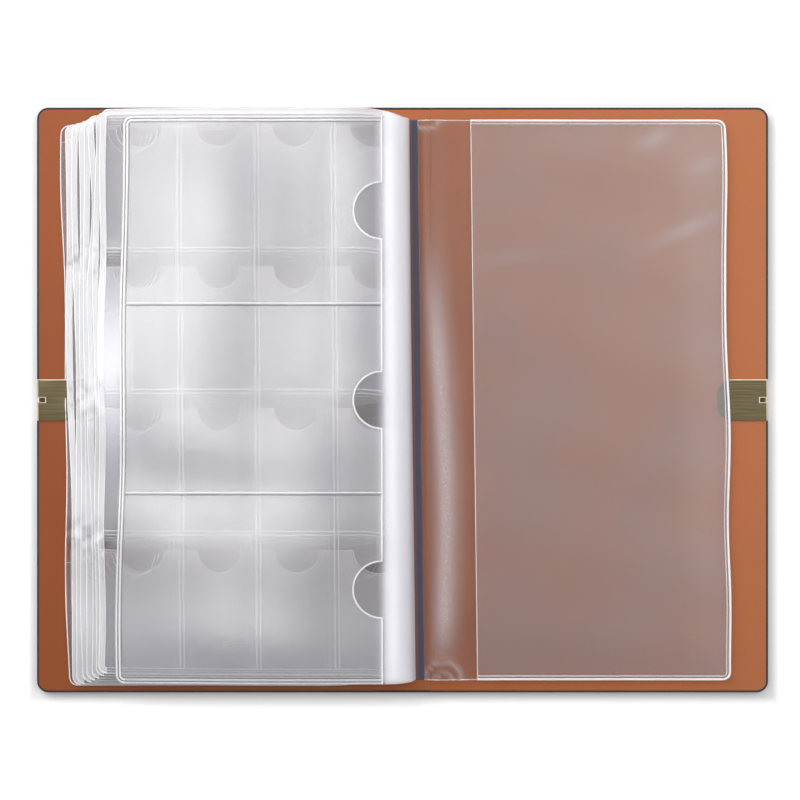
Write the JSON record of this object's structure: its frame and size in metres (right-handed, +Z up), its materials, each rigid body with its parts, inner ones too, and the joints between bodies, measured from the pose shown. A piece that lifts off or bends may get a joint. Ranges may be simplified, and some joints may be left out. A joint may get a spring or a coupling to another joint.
{
  "type": "pressed penny album",
  "caption": "Open album with a hinged leatherette cover, brass fore-edge clips and clear leaves of pockets for pressed pennies and cards that turn on a bound spine.",
  "frame": {"origin": "middle of the open album's footprint, on the surface it lies on", "axes": "+X from the front cover's fore-edge to the back cover's, +Y from tail to head, +Z up"},
  "size_m": [0.26, 0.208, 0.0139],
  "materials": {
    "leatherette": "fine grain",
    "lining": "smooth matte",
    "board": "raw",
    "brass": "antique, brushed",
    "magnet": "plated",
    "binding": "matte",
    "film": "clear, soft haze",
    "seam": "welded, glossy"
  },
  "bodies": {
    "back_cover": {"back_skin": "leatherette", "back_board": "board", "back_lining": "lining", "back_clip": "brass", "back_magnet": "magnet"},
    "spine": {"spine_skin": "leatherette", "spine_board": "board", "spine_lining": "lining", "binding_strip": "binding", "front_hinge_skin": "leatherette", "front_hinge_lining": "lining", "back_hinge_skin": "leatherette", "back_hinge_lining": "lining", "penny_leaf_1_root": "film", "penny_leaf_2_root": "film", "penny_leaf_3_root": "film", "penny_leaf_4_root": "film", "penny_leaf_5_root": "film", "penny_leaf_6_root": "film", "penny_leaf_7_root": "film", "penny_leaf_8_root": "film", "card_leaf_root": "film", "end_leaf_root": "film"},
    "front_cover": {"front_skin": "leatherette", "front_board": "board", "front_lining": "lining", "front_clip": "brass", "front_magnet": "magnet"},
    "penny_leaf_1": {"penny_leaf_1_sheet": "film", "penny_leaf_1_pockets": "film", "penny_leaf_1_seams": "seam"},
    "penny_leaf_2": {"penny_leaf_2_sheet": "film", "penny_leaf_2_pockets": "film", "penny_leaf_2_seams": "seam"},
    "penny_leaf_3": {"penny_leaf_3_sheet": "film", "penny_leaf_3_pockets": "film", "penny_leaf_3_seams": "seam"},
    "penny_leaf_4": {"penny_leaf_4_sheet": "film", "penny_leaf_4_pockets": "film", "penny_leaf_4_seams": "seam"},
    "penny_leaf_5": {"penny_leaf_5_sheet": "film", "penny_leaf_5_pockets": "film", "penny_leaf_5_seams": "seam"},
    "penny_leaf_6": {"penny_leaf_6_sheet": "film", "penny_leaf_6_pockets": "film", "penny_leaf_6_seams": "seam"},
    "penny_leaf_7": {"penny_leaf_7_sheet": "film", "penny_leaf_7_pockets": "film", "penny_leaf_7_seams": "seam"},
    "penny_leaf_8": {"penny_leaf_8_sheet": "film", "penny_leaf_8_pockets": "film", "penny_leaf_8_seams": "seam"},
    "card_leaf": {"card_leaf_sheet": "film", "card_leaf_pockets": "film", "card_leaf_seams": "seam"},
    "end_leaf": {"end_leaf_sheet": "film", "end_leaf_pockets": "film", "end_leaf_seams": "seam"}
  },
  "joints": [
    {"name": "back_hinge", "type": "hinge", "parent": "back_cover", "child": "spine", "pos_m": [0.01165, 0, 0.00135], "axis": [0, 1, 0], "range_deg": [0, 90], "deforming": ["back_hinge_skin", "back_hinge_lining"]},
    {"name": "front_hinge", "type": "hinge", "parent": "spine", "child": "front_cover", "pos_m": [-0.01165, 0, 0.00135], "axis": [0, 1, 0], "range_deg": [0, 90], "deforming": ["front_hinge_skin", "front_hinge_lining"]},
    {"name": "penny_leaf_1_turn", "type": "hinge", "parent": "spine", "child": "penny_leaf_1", "pos_m": [-0.00511, 0, 0.00324], "axis": [0, 1, 0], "range_deg": [0, 90], "deforming": ["penny_leaf_1_root"]},
    {"name": "penny_leaf_2_turn", "type": "hinge", "parent": "spine", "child": "penny_leaf_2", "pos_m": [-0.00416, 0, 0.00419], "axis": [0, 1, 0], "range_deg": [0, 90], "deforming": ["penny_leaf_2_root"]},
    {"name": "penny_leaf_3_turn", "type": "hinge", "parent": "spine", "child": "penny_leaf_3", "pos_m": [-0.00322, 0, 0.00513], "axis": [0, 1, 0], "range_deg": [0, 90], "deforming": ["penny_leaf_3_root"]},
    {"name": "penny_leaf_4_turn", "type": "hinge", "parent": "spine", "child": "penny_leaf_4", "pos_m": [-0.00228, 0, 0.00607], "axis": [0, 1, 0], "range_deg": [0, 90], "deforming": ["penny_leaf_4_root"]},
    {"name": "penny_leaf_5_turn", "type": "hinge", "parent": "spine", "child": "penny_leaf_5", "pos_m": [-0.00134, 0, 0.00701], "axis": [0, 1, 0], "range_deg": [0, 90], "deforming": ["penny_leaf_5_root"]},
    {"name": "penny_leaf_6_turn", "type": "hinge", "parent": "spine", "child": "penny_leaf_6", "pos_m": [-0.00039, 0, 0.00796], "axis": [0, 1, 0], "range_deg": [0, 90], "deforming": ["penny_leaf_6_root"]},
    {"name": "penny_leaf_7_turn", "type": "hinge", "parent": "spine", "child": "penny_leaf_7", "pos_m": [0.00055, 0, 0.0089], "axis": [0, 1, 0], "range_deg": [0, 90], "deforming": ["penny_leaf_7_root"]},
    {"name": "penny_leaf_8_turn", "type": "hinge", "parent": "spine", "child": "penny_leaf_8", "pos_m": [0.00149, 0, 0.00984], "axis": [0, 1, 0], "range_deg": [0, 90], "deforming": ["penny_leaf_8_root"]},
    {"name": "card_leaf_turn", "type": "hinge", "parent": "spine", "child": "card_leaf", "pos_m": [0.00243, 0, 0.01078], "axis": [0, 1, 0], "range_deg": [0, 90], "deforming": ["card_leaf_root"]},
    {"name": "end_leaf_turn", "type": "hinge", "parent": "spine", "child": "end_leaf", "pos_m": [0.00766, 0, 0.00379], "axis": [0, 1, 0], "range_deg": [-90, 0], "deforming": ["end_leaf_root"]}
  ],
  "couplings": [
    {"joint": "penny_leaf_1_turn", "follows": "front_hinge", "ratio": 1},
    {"joint": "penny_leaf_2_turn", "follows": "front_hinge", "ratio": 1},
    {"joint": "penny_leaf_3_turn", "follows": "front_hinge", "ratio": 1},
    {"joint": "penny_leaf_4_turn", "follows": "front_hinge", "ratio": 1},
    {"joint": "penny_leaf_5_turn", "follows": "front_hinge", "ratio": 1},
    {"joint": "penny_leaf_6_turn", "follows": "front_hinge", "ratio": 1},
    {"joint": "penny_leaf_7_turn", "follows": "front_hinge", "ratio": 1},
    {"joint": "penny_leaf_8_turn", "follows": "front_hinge", "ratio": 1},
    {"joint": "card_leaf_turn", "follows": "front_hinge", "ratio": 1},
    {"joint": "end_leaf_turn", "follows": "back_hinge", "ratio": -1}
  ]
}
